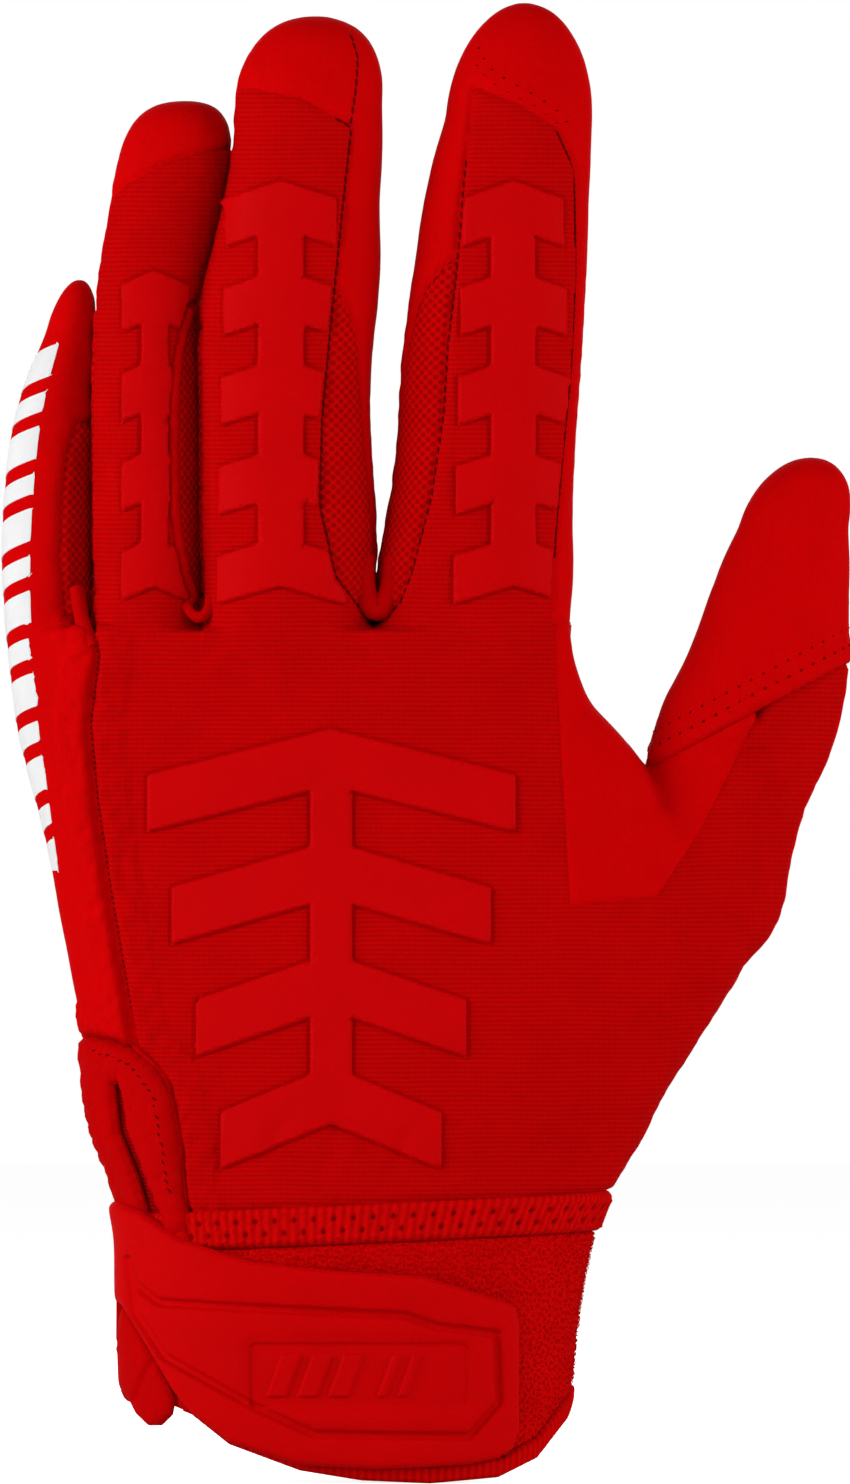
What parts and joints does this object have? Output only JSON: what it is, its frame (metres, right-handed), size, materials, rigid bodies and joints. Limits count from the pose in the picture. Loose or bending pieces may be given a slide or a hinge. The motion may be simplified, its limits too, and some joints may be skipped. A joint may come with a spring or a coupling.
{
  "type": "football glove",
  "caption": "Left-hand receiver glove with rib-knit back, mesh finger sides, smooth grip palm, elastic wrist and peel-open strap.",
  "frame": {"origin": "centre of the wrist opening, in the plane of the cuff's lower rim", "axes": "+Z along the fingers, +X towards the thumb, the back of the hand faces -Y and the palm +Y"},
  "size_m": [0.1374, 0.0447, 0.24],
  "materials": {
    "rib_knit": "fine horizontal rib knit, matt",
    "air_mesh": "perforated spacer mesh, matt",
    "smooth_synthetic": "smooth coated synthetic suede, low sheen",
    "raised_silicone": "raised silicone print, satin",
    "elastic_webbing": "shirred elastic with zigzag stitching, matt",
    "loop_pile": "brushed loop pile, matt",
    "hook_tape": "moulded hook tape, matt",
    "moulded_strap": "moulded thermoplastic rubber, satin"
  },
  "bodies": {
    "hand": {"back_knit_panel": "rib_knit", "thumb_web_patch": "smooth_synthetic", "palm_grip_panel": "smooth_synthetic", "thumb_palm_panel": "smooth_synthetic", "back_raised_print": "raised_silicone", "cuff_loop_panel": "loop_pile", "cuff_rear_panel": "smooth_synthetic", "wrist_elastic_band": "elastic_webbing", "cuff_rim_binding": "elastic_webbing", "vent_binding": "elastic_webbing", "vent_gusset": "rib_knit", "strap_root": "smooth_synthetic", "strap_root_fold": "smooth_synthetic"},
    "index_finger": {"index_back_knit": "rib_knit", "index_mesh_pinky_side": "air_mesh", "index_smooth_wrap": "smooth_synthetic", "index_raised_print": "raised_silicone"},
    "middle_finger": {"middle_back_knit": "rib_knit", "middle_mesh_pinky_side": "air_mesh", "middle_mesh_thumb_side": "air_mesh", "middle_smooth_wrap": "smooth_synthetic", "middle_raised_print": "raised_silicone"},
    "ring_finger": {"ring_back_knit": "rib_knit", "ring_mesh_pinky_side": "air_mesh", "ring_mesh_thumb_side": "air_mesh", "ring_smooth_wrap": "smooth_synthetic", "ring_raised_print": "raised_silicone"},
    "pinky_finger": {"pinky_mesh_side": "air_mesh", "pinky_smooth_wrap": "smooth_synthetic"},
    "thumb": {"thumb_stall": "smooth_synthetic", "thumb_hem_band": "smooth_synthetic"},
    "strap": {"closure_strap": "moulded_strap", "strap_hook_patch": "hook_tape"}
  },
  "joints": [
    {"name": "index_knuckle", "type": "hinge", "parent": "hand", "child": "index_finger", "pos_m": [0.01988, 0.01124, 0.139], "axis": [-1, 0, 0], "range_deg": [0, 80]},
    {"name": "middle_knuckle", "type": "hinge", "parent": "hand", "child": "middle_finger", "pos_m": [-0.01021, 0.01061, 0.139], "axis": [-1, 0, 0], "range_deg": [0, 80]},
    {"name": "ring_knuckle", "type": "hinge", "parent": "hand", "child": "ring_finger", "pos_m": [-0.03297, 0.0137, 0.139], "axis": [-1, 0, 0], "range_deg": [0, 80]},
    {"name": "pinky_knuckle", "type": "hinge", "parent": "hand", "child": "pinky_finger", "pos_m": [-0.04906, 0.01662, 0.139], "axis": [-1, 0, 0], "range_deg": [0, 80]},
    {"name": "thumb_fold", "type": "hinge", "parent": "hand", "child": "thumb", "pos_m": [0.06565, 0.0158, 0.1247], "axis": [-0.8825, 0, -0.4702], "range_deg": [0, 60]},
    {"name": "strap_peel", "type": "hinge", "parent": "hand", "child": "strap", "pos_m": [-0.0393, 0, 0.032], "axis": [0, 0, -1], "range_deg": [0, 130]}
  ]
}
